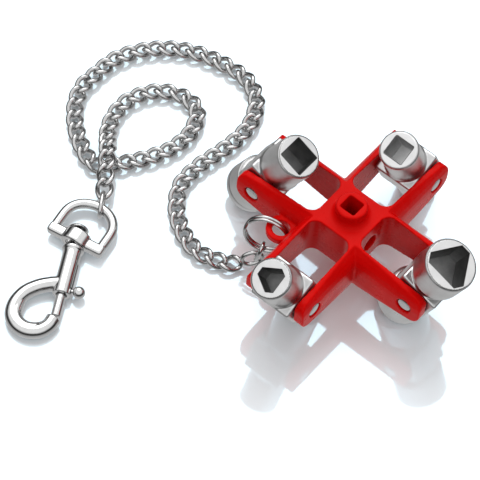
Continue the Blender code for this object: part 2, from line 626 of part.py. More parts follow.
def make_bolt(parts, cutters, chrome):
    place = snap_frame()
    length = BOLT_END - BOLT_START
    lying = place @ Matrix.Translation((BOLT_START, 0, 0)) @ Matrix.Rotation(math.radians(90), 4, "Y")
    edge = 0.2 * MM
    profile = [(0.0, length), (BOLT_RADIUS - edge, length), (BOLT_RADIUS, length - edge),
               (BOLT_RADIUS, edge), (BOLT_RADIUS - edge, 0.0), (0.0, 0.0)]
    bolt = turned("snap_bolt", profile, parts, lying, 24)
    hole_place = (place @ Matrix.Translation((KNOB_ALONG, BOLT_RADIUS, 0))
                  @ Matrix.Rotation(math.radians(90), 4, "X"))
    hole = cylinder("stem_hole", STEM_HOLE, 2 * (BOLT_RADIUS - STEM_FOOT + GAP), cutters, hole_place, 18)
    boolean(bolt, as_cutter(hole), "DIFFERENCE")
    finish(bolt, chrome)


def make_knob(parts, chrome):
    """The thumb knob: a ball on a stem that stands in the bolt."""
    place = (snap_frame() @ Matrix.Translation((KNOB_ALONG, 0, 0))
             @ Matrix.Rotation(math.radians(-90), 4, "X"))
    ball_start = 180 - math.degrees(math.asin(STEM_RADIUS / KNOB_RADIUS))
    profile = []
    for i in range(11):
        angle = math.radians(ball_start * i / 10)
        profile.append((KNOB_RADIUS * math.sin(angle), KNOB_OUT + KNOB_RADIUS * math.cos(angle)))
    profile[0] = (0.0, KNOB_OUT + KNOB_RADIUS)
    profile += [(STEM_RADIUS, STEM_FOOT), (0.0, STEM_FOOT)]
    finish(turned("bolt_knob", profile, parts, place, 24), chrome)


def make_spring(parts, steel):
    """The return spring between the bore's end and the bolt."""
    start = BORE_BOTTOM + SPRING_WIRE + 0.2 * MM
    end = BOLT_START - SPRING_WIRE - 0.3 * MM
    count = SPRING_TURNS * 9 + 1
    points = []
    for i in range(count):
        turn = 2 * math.pi * SPRING_TURNS * i / (count - 1)
        along = start + (end - start) * i / (count - 1)
        points.append((along, SPRING_RADIUS * math.cos(turn), SPRING_RADIUS * math.sin(turn)))
    finish(wire("bolt_spring", points, SPRING_WIRE, parts, snap_frame()), steel)


def main():
    clear_scene()
    parts = new_collection(PARTS)
    cutters = new_collection("cutters")
    paint = new_material("red_enamel", (0.62, 0.012, 0.012), 0.22, 0.0)
    zinc = new_material("cast_zinc", (0.62, 0.62, 0.61), 0.38, 1.0)
    chrome = new_material("bright_nickel", (0.75, 0.75, 0.74), 0.14, 1.0)
    steel = new_material("plated_steel", (0.66, 0.66, 0.65), 0.2, 1.0)

    make_body(parts, cutters, paint)
    for spec in HEADS:
        make_head(spec, parts, cutters, zinc)
        make_rivet(spec[0].replace("head", "rivet"), spec[1], parts, steel)
    make_split_ring(parts, steel)
    make_chain(parts, steel)
    make_snap_eye(parts, cutters, chrome)
    make_snap_body(parts, cutters, chrome)
    make_bolt(parts, cutters, chrome)
    make_knob(parts, chrome)
    make_spring(parts, steel)


main()
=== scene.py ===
"""Looks for the universal radiator bleed key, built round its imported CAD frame."""
import math
import random

import bmesh
import bpy
from mathutils import Matrix, Vector


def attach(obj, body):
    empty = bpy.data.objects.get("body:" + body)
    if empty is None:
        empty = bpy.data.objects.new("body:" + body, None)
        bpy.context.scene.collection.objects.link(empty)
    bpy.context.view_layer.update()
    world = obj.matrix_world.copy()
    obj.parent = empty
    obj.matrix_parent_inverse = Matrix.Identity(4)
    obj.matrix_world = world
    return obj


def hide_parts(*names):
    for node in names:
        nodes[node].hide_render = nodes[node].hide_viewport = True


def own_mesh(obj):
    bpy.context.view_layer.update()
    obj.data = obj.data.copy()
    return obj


MM = 0.001
UP = Vector((0, 0, 1))

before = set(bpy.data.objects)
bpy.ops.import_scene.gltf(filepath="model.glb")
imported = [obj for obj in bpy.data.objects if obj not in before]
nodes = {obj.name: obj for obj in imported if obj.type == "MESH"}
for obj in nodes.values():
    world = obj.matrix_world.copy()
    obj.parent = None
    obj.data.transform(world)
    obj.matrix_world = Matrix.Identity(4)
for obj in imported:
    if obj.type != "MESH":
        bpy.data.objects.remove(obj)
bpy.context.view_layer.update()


# ---- camera ---------------------------------------------------------------------------------------
CAMERA_ROUND = math.radians(35.94)
CAMERA_UP = math.radians(57.97)
CAMERA_ROLL = math.radians(5.02)
CAMERA_TARGET = Vector((-27.17, -14.67, 0.42)) * MM
CAMERA_DISTANCE = 684.6 * MM
CAMERA_LENS = 174.88
CAMERA_SENSOR = 36.0
CAMERA_CLIP = 0.01                  # m


def look_camera():
    """The photograph's viewing angle: 36 degrees round, 58 up, with a slight roll."""
    back = Vector((math.sin(CAMERA_ROUND) * math.cos(CAMERA_UP), -math.cos(CAMERA_ROUND) * math.cos(CAMERA_UP),
                   math.sin(CAMERA_UP)))
    right = (-back).cross(UP).normalized()
    up = right.cross(-back)
    turned_right = math.cos(CAMERA_ROLL) * right + math.sin(CAMERA_ROLL) * up
    turned_up = -math.sin(CAMERA_ROLL) * right + math.cos(CAMERA_ROLL) * up
    data = bpy.data.cameras.new("camera")
    data.lens = CAMERA_LENS
    data.sensor_width = CAMERA_SENSOR
    data.clip_start = CAMERA_CLIP
    camera = bpy.data.objects.new("camera", data)
    bpy.context.scene.collection.objects.link(camera)
    basis = Matrix((turned_right, turned_up, back)).transposed().to_4x4()
    camera.matrix_world = Matrix.Translation(CAMERA_TARGET + back * CAMERA_DISTANCE) @ basis
    bpy.context.scene.camera = camera


look_camera()


# ---- node helpers ---------------------------------------------------------------------------------
def noise_node(tree, coords, scale, detail, rough):
    node = tree.nodes.new("ShaderNodeTexNoise")
    node.inputs["Scale"].default_value = scale
    node.inputs["Detail"].default_value = detail
    node.inputs["Roughness"].default_value = rough
    tree.links.new(coords, node.inputs["Vector"])
    return node.outputs["Fac"]


def ramp(tree, value, stops):
    node = tree.nodes.new("ShaderNodeValToRGB")
    while len(node.color_ramp.elements) < len(stops):
        node.color_ramp.elements.new(0.5)
    for element, (place, colour) in zip(node.color_ramp.elements, stops):
        element.position = place
        element.color = (*colour, 1.0)
    tree.links.new(value, node.inputs["Fac"])
    return node.outputs["Color"]


def grey(v):
    return (v, v, v)


PATCH_SCALE = 220.0                 # of the noise that varies the roughness
PATCH_RANGE = (0.3, 0.7)            # the part of that noise that the roughness is spread over


def material(name, stops, rough_range, metallic, colour_scale, bump_layers, gloss=0.5, tint=(1, 1, 1)):
    """A procedural finish: mottled colour, patchy roughness and a stack of noise bumps."""
    made = bpy.data.materials.new(name)
    made.use_nodes = True
    tree = made.node_tree
    shader = tree.nodes["Principled BSDF"]
    coords = tree.nodes.new("ShaderNodeTexCoord").outputs["Object"]
    colour = ramp(tree, noise_node(tree, coords, colour_scale, 5.0, 0.6), stops)
    tree.links.new(colour, shader.inputs["Base Color"])
    low, high = rough_range
    patch = noise_node(tree, coords, PATCH_SCALE, 4.0, 0.65)
    spread = tree.nodes.new("ShaderNodeMapRange")
    spread.inputs["From Min"].default_value, spread.inputs["From Max"].default_value = PATCH_RANGE
    spread.inputs["To Min"].default_value = low
    spread.inputs["To Max"].default_value = high
    tree.links.new(patch, spread.inputs["Value"])
    tree.links.new(spread.outputs["Result"], shader.inputs["Roughness"])
    shader.inputs["Metallic"].default_value = metallic
    shader.inputs["Specular IOR Level"].default_value = gloss
    shader.inputs["Specular Tint"].default_value = (*tint, 1.0)
    last = None
    for scale, strength, depth in bump_layers:
        bump = tree.nodes.new("ShaderNodeBump")
        bump.inputs["Strength"].default_value = strength
        bump.inputs["Distance"].default_value = depth * MM
        tree.links.new(noise_node(tree, coords, scale, 3.0, 0.55), bump.inputs["Height"])
        if last is not None:
            tree.links.new(last, bump.inputs["Normal"])
        last = bump.outputs["Normal"]
    if last is not None:
        tree.links.new(last, shader.inputs["Normal"])
    return made


# Bump layers are (noise scale, strength, depth in mm).
ENAMEL = material(
    "red_enamel", ((0.25, (0.53, 0.0012, 0.001)), (0.75, (0.61, 0.0024, 0.002))), (0.22, 0.36), 0.0, 90.0,
    ((900.0, 0.12, 0.06), (150.0, 0.1, 0.2)), gloss=0.12, tint=(1, 0.3, 0.26))
CAST = material(
    "cast_zinc", ((0.2, grey(0.52)), (0.8, grey(0.66))), (0.26, 0.42), 1.0, 160.0,
    ((1500.0, 0.25, 0.05), (260.0, 0.22, 0.12)))
GROUND = material(
    "ground_face", ((0.2, grey(0.6)), (0.8, grey(0.72))), (0.3, 0.45), 1.0, 300.0,
    ((2600.0, 0.25, 0.03),))
SOCKET = material(
    "socket_wall", ((0.2, grey(0.2)), (0.8, grey(0.34))), (0.35, 0.55), 1.0, 240.0,
    ((1500.0, 0.3, 0.05), (300.0, 0.2, 0.1)))
PALE_SOCKET = material(
    "pale_socket_wall", ((0.2, grey(0.5)), (0.8, grey(0.66))), (0.35, 0.55), 1.0, 240.0,
    ((1500.0, 0.3, 0.05), (300.0, 0.2, 0.1)))
NICKEL = material(
    "bright_nickel", ((0.2, grey(0.56)), (0.8, grey(0.66))), (0.08, 0.2), 1.0, 200.0,
    ((420.0, 0.08, 0.1), (2400.0, 0.08, 0.02)))
PLATED = material(
    "plated_steel", ((0.2, grey(0.46)), (0.8, grey(0.6))), (0.1, 0.22), 1.0, 500.0,
    ((1200.0, 0.1, 0.03),))


# ---- mesh helpers ---------------------------------------------------------------------------------
def add_object(name, mesh, matrix=None):
    thing = bpy.data.objects.new(name, mesh)
    bpy.context.scene.collection.objects.link(thing)
    if matrix is not None:
        thing.matrix_world = matrix
    return thing


def bake(thing):
    """Applies every modifier and drops the result into a plain mesh at the origin."""
    bpy.context.view_layer.update()
    graph = bpy.context.evaluated_depsgraph_get()
    mesh = bpy.data.meshes.new_from_object(thing.evaluated_get(graph))
    mesh.transform(thing.matrix_world)
    name = thing.name
    bpy.data.objects.remove(thing, do_unlink=True)
    made = add_object(name + "_part", mesh)
    made.name = name
    return made


def shade(thing, finish, angle):
    thing.data.materials.clear()
    thing.data.materials.append(finish)
    thing.data.shade_smooth()
    thing.data.set_sharp_from_angle(angle=math.radians(angle))


WELD_DISTANCE = 0.002 * MM
MERGE_DISTANCE = 0.005 * MM


def weld(thing):
    work = bmesh.new()
    work.from_mesh(thing.data)
    bmesh.ops.remove_doubles(work, verts=work.verts, dist=WELD_DISTANCE)
    bmesh.ops.recalc_face_normals(work, faces=work.faces)
    work.to_mesh(thing.data)
    work.free()


def turned(name, profile, matrix, steps):
    """A closed turned shape about its own Z from (radius, height) points, top to bottom."""
    mesh = bpy.data.meshes.new(name)
    mesh.from_pydata([(r, 0.0, z) for r, z in profile],
                     [(i, i + 1) for i in range(len(profile) - 1)], [])
    thing = add_object(name, mesh, matrix)
    screw = thing.modifiers.new("turn", "SCREW")
    screw.axis = "Z"
    screw.steps = steps
    screw.render_steps = steps
    screw.use_merge_vertices = True
    screw.merge_threshold = MERGE_DISTANCE
    return thing


ROUND_STEPS = 4


def rounded(profile, radius):
    """The same open profile with each inner corner replaced by a small arc."""
    result = [profile[0]]
    for before, at, after in zip(profile, profile[1:], profile[2:]):
        a, b, c = Vector(before), Vector(at), Vector(after)
        u, v = (a - b), (c - b)
        reach = min(radius, u.length * 0.45, v.length * 0.45)
        start, end = b + u.normalized() * reach, b + v.normalized() * reach
        for k in range(ROUND_STEPS + 1):
            t = k / ROUND_STEPS
            result.append(tuple((1 - t) ** 2 * start + 2 * t * (1 - t) * b + t ** 2 * end))
    result.append(profile[-1])
    return result


def block(name, size, matrix, round_, segments=4):
    mesh = bpy.data.meshes.new(name)
    work = bmesh.new()
    bmesh.ops.create_cube(work, size=1.0)
    bmesh.ops.scale(work, vec=size, verts=work.verts)
    work.to_mesh(mesh)
    work.free()
    thing = add_object(name, mesh, matrix)
    if round_:
        edge = thing.modifiers.new("edges", "BEVEL")
        edge.width = round_
        edge.segments = segments
    return thing


def prism(name, sections, matrix):
    """A closed prism through polygon sections: each is (z, [(x, y), ...]) with the same corner count."""
    count = len(sections[0][1])
    points = [(x, y, z) for z, outline in sections for x, y in outline]
    faces = [tuple(reversed(range(count)))]
    for level in range(len(sections) - 1):
        for i in range(count):
            j = (i + 1) % count
            a, b = level * count, (level + 1) * count
            faces.append((a + i, a + j, b + j, b + i))
    faces.append(tuple(range((len(sections) - 1) * count, len(sections) * count)))
    mesh = bpy.data.meshes.new(name)
    mesh.from_pydata(points, [], faces)
    thing = add_object(name, mesh, matrix)
    weld(thing)
    return thing


def cut(thing, other):
    """Cuts the other shape away. It is kept in hand, to be removed once the result is baked."""
    other.hide_render = True
    step = thing.modifiers.new("difference", "BOOLEAN")
    step.operation = "DIFFERENCE"
    step.solver = "EXACT"
    step.object = other
    return other


def remove(*things):
    for thing in things:
        bpy.data.objects.remove(thing, do_unlink=True)


def tube(name, points, radii, sides, closed=False):
    """A round tube along points with its own radius at each, built ring by ring."""
    count = len(points)
    tangents = []
    for i in range(count):
        before = points[(i - 1) % count] if closed or i > 0 else points[i]
        after = points[(i + 1) % count] if closed or i < count - 1 else points[i]
        tangents.append((after - before).normalized())
    normal = tangents[0].orthogonal().normalized()
    normals = []
    for tangent in tangents:
        normal = (normal - tangent * normal.dot(tangent)).normalized()
        normals.append(normal.copy())
    twist = 0.0
    if closed:
        carried = (normals[-1] - tangents[0] * normals[-1].dot(tangents[0])).normalized()
        side = tangents[0].cross(normals[0])
        twist = -math.atan2(carried.dot(side), carried.dot(normals[0]))
    mesh = bpy.data.meshes.new(name)
    verts, faces = [], []
    for i, (point, tangent, normal) in enumerate(zip(points, tangents, normals)):
        side = tangent.cross(normal)
        turn = twist * i / count
        for k in range(sides):
            angle = 2 * math.pi * k / sides + turn
            verts.append(point + radii[i] * (math.cos(angle) * normal + math.sin(angle) * side))
    rings = count if closed else count - 1
    for i in range(rings):
        a, b = i * sides, ((i + 1) % count) * sides
        for k in range(sides):
            m = (k + 1) % sides
            faces.append((a + k, a + m, b + m, b + k))
    if not closed:
        faces.append(tuple(reversed(range(sides))))
        faces.append(tuple((count - 1) * sides + k for k in range(sides)))
    mesh.from_pydata([tuple(v) for v in verts], [], faces)
    mesh.validate()
    return add_object(name, mesh)


LINE_STEPS = 24                     # fine points between two given ones


def smooth_line(points, count):
    """Evenly spaced points on a smooth curve through the given points."""
    ends = [2 * points[0] - points[1], *points, 2 * points[-1] - points[-2]]
    fine = []
    for i in range(1, len(ends) - 2):
        p0, p1, p2, p3 = ends[i - 1:i + 3]
        for k in range(LINE_STEPS):
            t = k / LINE_STEPS
            fine.append(0.5 * (2 * p1 + (p2 - p0) * t + (2 * p0 - 5 * p1 + 4 * p2 - p3) * t ** 2
                               + (3 * p1 - p0 - 3 * p2 + p3) * t ** 3))
    fine.append(points[-1].copy())
    lengths = [0.0]
    for a, b in zip(fine, fine[1:]):
        lengths.append(lengths[-1] + (b - a).length)
    result = []
    at = 0
    for k in range(count):
        target = lengths[-1] * k / (count - 1)
        while at < len(fine) - 2 and lengths[at + 1] < target:
            at += 1
        share = (target - lengths[at]) / (lengths[at + 1] - lengths[at])
        result.append(fine[at].lerp(fine[at + 1], share))
    return result


def line_length(points):
    return sum((b - a).length for a, b in zip(points, points[1:]))


def frame_at(origin, x_axis, z_hint):
    x = Vector(x_axis).normalized()
    y = Vector(z_hint).cross(x).normalized()
    z = x.cross(y)
    return Matrix.Translation(origin) @ Matrix((x, y, z)).transposed().to_4x4()


# ---- chain ----------------------------------------------------------------------------------------
LAID = 2.05                        # mm, the height of the links that lie on the surface
CHAIN_ROUTE = (
    (-21.9, -22.1, 2.75), (-23.95, -23.98, LAID), (-27.25, -25.35, LAID), (-33.4, -26.8, LAID),
    (-39.7, -25.1, LAID),
    (-45.1, -21.9, LAID), (-49.4, -17.4, LAID), (-52.3, -11.6, LAID), (-52.4, -3.2, LAID),
    (-51.0, 4.4, LAID), (-50.2, 12.8, LAID), (-51.6, 20.4, LAID), (-55.9, 26.8, LAID),
    (-62.9, 30.1, LAID), (-70.9, 29.8, LAID), (-78.9, 27.9, LAID), (-86.7, 23.7, LAID),
    (-93.1, 17.2, LAID), (-97.2, 9.0, LAID), (-98.5, 0.8, LAID), (-97.3, -7.0, LAID),
    (-93.3, -13.9, LAID), (-86.8, -19.7, LAID), (-79.0, -23.7, LAID), (-74.4, -23.4, LAID),
    (-70.2, -18.4, LAID), (-66.0, -12.2, LAID), (-62.6, -4.4, LAID), (-62.2, 3.8, LAID),
    (-66.0, 11.0, LAID), (-72.9, 12.1, LAID), (-79.6, 8.4, LAID), (-83.7, 1.2, LAID),
    (-83.6, -6.6, LAID), (-80.4, -13.2, 3.0), (-77.0, -17.2, 5.3), (-74.3, -20.2, 7.0),
    (-72.1, -23.0, 7.0), (-70.4, -25.3, 5.9), (-68.4, -28.0, 4.4),
)
LINK_WIRE = 0.74 * MM
LINK_INNER = 4.7 * MM
LINK_WIDTH = 5.6 * MM
LINK_SLACK = 0.3 * MM               # play between two links' wires
PITCH = LINK_INNER - LINK_SLACK
LEFTMOST = -97.85 * MM              # keeps the widest link inside the chain's own reach
TWIST = math.radians(112)           # of a link from end to end
LINK_LEAN = 7                       # degrees that a link may lean either way


def link_line(roll):
    """The closed centre line of an oval link along X, twisted about X from end to end."""
    half_width = LINK_WIDTH / 2 - LINK_WIRE
    half_length = LINK_INNER / 2 + LINK_WIRE
    steps = 28
    points = []
    for i in range(steps):
        angle = 2 * math.pi * i / steps
        c, s = math.cos(angle), math.sin(angle)
        x = half_length * c
        y = half_width * math.copysign(abs(s) ** 0.9, s)
        turn = roll + TWIST * x / (2 * half_length)
        points.append(Vector((x, y * math.cos(turn), y * math.sin(turn))))
    return points


def join_all(name, things):
    """One mesh from many, in their own places."""
    bpy.context.view_layer.update()
    work = bmesh.new()
    for thing in things:
        start = len(work.verts)
        work.from_mesh(thing.data)
        work.verts.ensure_lookup_table()
        for v in work.verts[start:]:
            v.co = thing.matrix_world @ v.co
    mesh = bpy.data.meshes.new(name)
    work.to_mesh(mesh)
    work.free()
    remove(*things)
    return add_object(name, mesh)


def make_chain():
    rng = random.Random(7)
    rough = [Vector(p) * MM for p in CHAIN_ROUTE]
    line = smooth_line(rough, 400)
    total = line_length(line)
    count = round(total / PITCH)
    stations = smooth_line(rough, 2 * count + 1)
    links = []
    for i in range(count):
        here = stations[2 * i + 1]
        here.x = max(here.x, LEFTMOST)
        along = (stations[2 * i + 2] - stations[2 * i]).normalized()
        lean = math.radians(rng.uniform(-LINK_LEAN, LINK_LEAN))
        place = frame_at(here, along, UP)
        points = [place @ p for p in link_line(lean)]
        links.append(tube(f"link_{i}", points, [LINK_WIRE] * len(points), 12, closed=True))
    chain = join_all("chain_links", links)
    shade(chain, PLATED, 60)
    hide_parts("chain")
    return chain, [tuple(p) for p in smooth_line(rough, 120)], total


chain, chain_path, chain_length = make_chain()
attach(chain, "key")


# ---- fused castings -------------------------------------------------------------------------------
def fused(name, things, voxel, passes, finish, angle):
    """One casting from overlapping closed shapes, its edges and joins softened."""
    whole = join_all(name, things)
    mesh_up = whole.modifiers.new("fuse", "REMESH")
    mesh_up.mode = "VOXEL"
    mesh_up.voxel_size = voxel
    mesh_up.use_smooth_shade = True
    soften = whole.modifiers.new("soften", "SMOOTH")
    soften.factor = 0.5
    soften.iterations = passes
    whole = bake(whole)
    shade(whole, finish, angle)
    return whole


def copy_of(node):
    thing = add_object(node + "_copy", nodes[node].data.copy())
    weld(thing)
    return thing


# ---- key body -------------------------------------------------------------------------------------
PIN_Z = 19.3 * MM                   # height of the four pivots
PIN_OUT = 27.9 * MM                 # hub axis to each pivot


def make_body():
    body = fused("body_casting", [copy_of("key_body")], 0.25 * MM, 5, ENAMEL, 180)
    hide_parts("key_body")
    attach(body, "key")


make_body()


# ---- rivets and heads -----------------------------------------------------------------------------
SLOT_HALF = 7.0 * MM
EAR_THICK = 3.4 * MM
HEAD_UPPER = 18.2 * MM
BLOCK = (13.0 * MM, 13.3 * MM, 10.8 * MM)
FACE_CHAMFER = 0.5 * MM
SOCKET_DEPTH = 9.5 * MM
RIM_INSET = 0.55                    # mm, a lower rim's contact circle inside its barrel's radius
GROOVE_DEPTH = 0.28 * MM
PIN_HOLE = 2.0 * MM
# Each head: name, direction of its arm, lean (degrees), radius of the upper and the lower barrel (mm), and the
# upper and the lower socket as (flats, axis to a flat, axis to a corner's flat (mm), turn (degrees)).
HEADS = (
    ("nw", 180, -26.4, 6.5, 7.7, (4, 4.0, 5.5, 0), (3, 4.1, 5.9, 0)),
    ("ne", 90, -24.2, 5.8, 6.0, (4, 3.0, 4.1, 0), (3, 3.3, 4.7, 180)),
    ("sw", 270, 27.4, 5.9, 6.2, (3, 2.9, 3.85, 0), (4, 3.5, 4.8, 0)),
    ("se", 0, 21.4, 7.7, 7.6, (3, 4.6, 6.6, 180), (4, 4.5, 6.2, 0)),
)


def socket_outline(flats, inner, corner, turn, grow=0.0):
    sides = []
    for i in range(flats):
        flat = math.radians(turn + 360 * i / flats)
        sides.append((flat, (inner + grow) * MM))
        sides.append((flat + math.pi / flats, (corner + grow) * MM))
    outline = []
    for (a, da), (b, db) in zip(sides, sides[1:] + sides[:1]):
        span = math.sin(b - a)
        outline.append(((da * math.sin(b) - db * math.sin(a)) / span,
                        (db * math.cos(a) - da * math.cos(b)) / span))
    return outline


def head_place(direction, lean):
    return (Matrix.Translation((0, 0, PIN_Z)) @ Matrix.Rotation(math.radians(direction), 4, "Z")
            @ Matrix.Translation((PIN_OUT, 0, 0)) @ Matrix.Rotation(math.radians(lean), 4, "Y"))


def barrel(name, radius, length, place, groove):
    """One barrel from its ground face down into the block."""
    foot = 4.6 * MM
    profile = [(0.0, length), (radius - FACE_CHAMFER, length), (radius, length - FACE_CHAMFER)]
    if groove:
        at = length - groove
        profile += [(radius, at), (radius - GROOVE_DEPTH, at - 0.18 * MM),
                    (radius - GROOVE_DEPTH, at - 0.42 * MM), (radius, at - 0.6 * MM)]
    if radius > SLOT_HALF:
        profile += [(radius, 8.9 * MM), (radius - 0.6 * MM, 8.4 * MM), (6.3 * MM, 8.3 * MM), (6.3 * MM, foot)]
    else:
        profile += [(radius, 6.2 * MM), (radius + 0.3 * MM, 5.7 * MM), (radius + 0.4 * MM, foot)]
    profile += [(0.0, foot)]
    return bake(turned(name, profile, place, 88))


def make_head(spec):
    name, direction, lean, upper_radius, lower_radius, upper_socket, lower_socket = spec
    place = head_place(direction, lean)
    angle = math.radians(abs(lean))
    lower = (PIN_Z - (lower_radius - RIM_INSET) * MM * math.sin(angle)) / math.cos(angle)
    flip = Matrix.Rotation(math.pi, 4, "X")
    ends = (("upper", upper_radius * MM, HEAD_UPPER, upper_socket, place, 0),
            ("lower", lower_radius * MM, lower, lower_socket, place @ flip, 2.2 * MM if name == "nw" else 0))
    shapes = [bake(block(f"block_{name}", BLOCK, place, 0.7 * MM, 4))]
    for end, radius, length, _, turn, groove in ends:
        shapes.append(barrel(f"{end}_{name}", radius, length, turn, groove))
    head = fused(f"head_{name}_casting", shapes, 0.2 * MM, 3, CAST, 40)
    cutters = []
    quarter = Matrix.Rotation(math.radians(90), 4, "Z")
    for end, radius, length, socket, turn, _ in ends:
        mouth = 0.4 if (name, end) == ("ne", "upper") else 0.12
        sections = [(length - SOCKET_DEPTH, socket_outline(*socket)),
                    (length - mouth * 1.6 * MM, socket_outline(*socket)),
                    (length + 0.3 * MM, socket_outline(*socket, grow=mouth + 0.1))]
        cutters.append(cut(head, prism(f"socket_{name}_{end}", sections, turn @ quarter)))
    reach = 20 * MM
    pin = turned(f"pin_{name}", [(0.0, reach), (PIN_HOLE, reach), (PIN_HOLE, -reach), (0.0, -reach)],
                 place @ Matrix.Rotation(math.radians(90), 4, "X"), 48)
    cutters.append(cut(head, bake(pin)))
    head = bake(head)
    remove(*cutters)
    shade(head, CAST, 32)
    head.data.materials.append(GROUND)
    head.data.materials.append(PALE_SOCKET if name == "ne" else SOCKET)
    for _, radius, length, _, turn, _ in ends:
        back = turn.inverted()
        for face in head.data.polygons:
            at = back @ face.center
            if at.z > length - 0.03 * MM and math.hypot(at.x, at.y) < radius:
                face.material_index = 1
            elif at.z > length - SOCKET_DEPTH - 0.1 * MM and math.hypot(at.x, at.y) < radius - 0.35 * MM:
                face.material_index = 2
    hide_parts("head_" + name)
    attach(head, "head_" + name)


RIVET_HEAD = 2.15 * MM
RIVET_SHANK = 1.7 * MM
RIVET_SINK = 0.15 * MM              # rivet face below the ear's outer face


def make_rivet(name, direction):
    half = SLOT_HALF + EAR_THICK - RIVET_SINK
    neck = half - 0.9 * MM
    head = [(0.0, half), (1.2 * MM, half - 0.03 * MM), (1.85 * MM, half - 0.1 * MM),
            (2.08 * MM, half - 0.25 * MM), (RIVET_HEAD, half - 0.5 * MM), (RIVET_HEAD, neck), (RIVET_SHANK, neck)]
    profile = head + [(r, -z) for r, z in reversed(head)]
    place = (Matrix.Translation((0, 0, PIN_Z)) @ Matrix.Rotation(math.radians(direction), 4, "Z")
             @ Matrix.Translation((PIN_OUT, 0, 0)) @ Matrix.Rotation(math.radians(90), 4, "X"))
    rivet = bake(turned(f"rivet_{name}_turned", profile, place, 64))
    shade(rivet, PLATED, 40)
    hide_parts("rivet_" + name)
    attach(rivet, "key")


for spec in HEADS:
    make_head(spec)
    make_rivet(spec[0], spec[1])


# ---- split ring and loose links -------------------------------------------------------------------
RING_CENTRE = Vector((-17.33, -15.75, 15.38)) * MM
RING_AXIS = Vector((0.376, -0.907, 0.188)).normalized()
RING_RADIUS = 6.3 * MM
RING_WIRE = 0.5 * MM
RING_HALF_PITCH = 0.6 * MM          # the two turns lie this far each side of the middle
RING_START, RING_STOP, RING_CROSS = 12.0, 690.0, 32.0   # degrees


def make_split_ring():
    """Two turns of wire that cross over at the end of the first."""
    place = frame_at(RING_CENTRE, RING_AXIS.cross(UP), RING_AXIS)
    count = 240
    points = []
    radii = []
    for i in range(count):
        angle = RING_START + (RING_STOP - RING_START) * i / (count - 1)
        share = min(max((angle - (360 - RING_CROSS)) / RING_CROSS, 0.0), 1.0)
        along = RING_HALF_PITCH * (2 * share * share * (3 - 2 * share) - 1)
        turn = math.radians(angle)
        points.append(place @ Vector((RING_RADIUS * math.cos(turn), RING_RADIUS * math.sin(turn), along)))
        radii.append(RING_WIRE * (0.8 if i in (0, count - 1) else 1.0))
    ring = tube("ring_wire", points, radii, 14)
    shade(ring, PLATED, 50)
    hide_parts("split_ring")
    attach(ring, "ring")


make_split_ring()


LOOSE_WIRE = 0.66 * MM
LOOSE_WIDTH = 5.4 * MM
LOOSE_SQUARENESS = 0.85             # below 1, the oval fills out towards its corners
EYE_LINK_INNER = 6.2 * MM
EYE_LINK_WIDTH = 6.1 * MM


def make_loose_link(name, node, centre, along, face, inner, width, wire=LOOSE_WIRE, twist=0.0):
    """One link that stands by itself, lying along one direction with its flat side towards another."""
    steps = 56
    half_width = width / 2 - wire
    half_length = inner / 2 + wire
    place = frame_at(centre, along, face)
    points = []
    for i in range(steps):
        angle = 2 * math.pi * i / steps
        c, s = math.cos(angle), math.sin(angle)
        x = half_length * math.copysign(abs(c) ** LOOSE_SQUARENESS, c)
        y = half_width * math.copysign(abs(s) ** LOOSE_SQUARENESS, s)
        turn = twist * x / (2 * half_length)
        points.append(place @ Vector((x, y * math.cos(turn), y * math.sin(turn))))
    link = tube(name, points, [wire] * steps, 16, closed=True)
    shade(link, PLATED, 60)
    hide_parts(node)
    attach(link, "key")
    return link


def next_link(centre, along, inner, next_along):
    """The middle of the link that hangs in this one's end."""
    wire_middle = centre + along * (inner / 2 + LINK_WIRE)
    return wire_middle + next_along * (LINK_INNER / 2 - LINK_WIRE - LINK_SLACK)


first_at, first_along = Vector((-17.74, -17.46, 7.75)) * MM, Vector((-0.152, -0.233, -0.96)).normalized()
first_face = Vector((0.924, 0.383, 0.0)).normalized()
second_along = Vector((-0.644, -0.678, -0.356)).normalized()
eye_at, eye_along = Vector((-64.45, -33.8, 3.1)) * MM, Vector((-0.545, 0.839, 0.0)).normalized()
last_along = Vector((-0.52, 0.79, 0.33)).normalized()
loose = [
    make_loose_link("link_first", "chain_link_first", first_at, first_along, first_face, LINK_INNER, LOOSE_WIDTH),
    make_loose_link("link_second", "chain_link_second", next_link(first_at, first_along, LINK_INNER, second_along),
                    second_along, first_face.cross(first_along), LINK_INNER, LOOSE_WIDTH),
    make_loose_link("link_eye", "chain_link_eye", eye_at, eye_along, eye_along.cross(UP),
                    EYE_LINK_INNER, EYE_LINK_WIDTH),
    make_loose_link("link_last", "chain_link_last", next_link(eye_at, eye_along, EYE_LINK_INNER, last_along),
                    last_along, UP, LINK_INNER, LINK_WIDTH, LINK_WIRE, TWIST),
]


# ---- snap hook ------------------------------------------------------------------------------------
SNAP_PIVOT = Vector((-61.9, -47.8, 3.4)) * MM
SNAP = (Matrix.Translation(SNAP_PIVOT) @ Matrix.Rotation(math.radians(-60.7), 4, "Z")
        @ Matrix.Rotation(math.radians(2.0), 4, "Y"))
# The post is loose in the eye, so the eye's axis in plan is 18 degrees off the snap's.
EYE = Matrix.Translation(SNAP_PIVOT) @ Matrix.Rotation(math.radians(101.1), 4, "Z")
CASTING_VOXEL = 0.14 * MM
HOOK_WIRE = 2.185 * MM
HOOK_STEPS = 90
BELLY = slice(34, 82)               # of the hook's line, where its wire is thickened inwards
BELLY_SHIFT = 0.8 * MM
BELLY_MIDDLE = Vector((25.5, -6.3, 0.0)) * MM
BORE_RADIUS = 1.7 * MM
BOLT_RADIUS = 1.4 * MM
HOOK_LINE = (
    (14.2, 0.0), (15.4, -1.6), (16.2, -3.9), (17.7, -7.1), (20.4, -10.3), (24.2, -12.2),
    (28.1, -12.2), (31.0, -10.2), (32.3, -7.1), (31.7, -3.7), (29.6, -1.4), (26.9, -0.35),
)


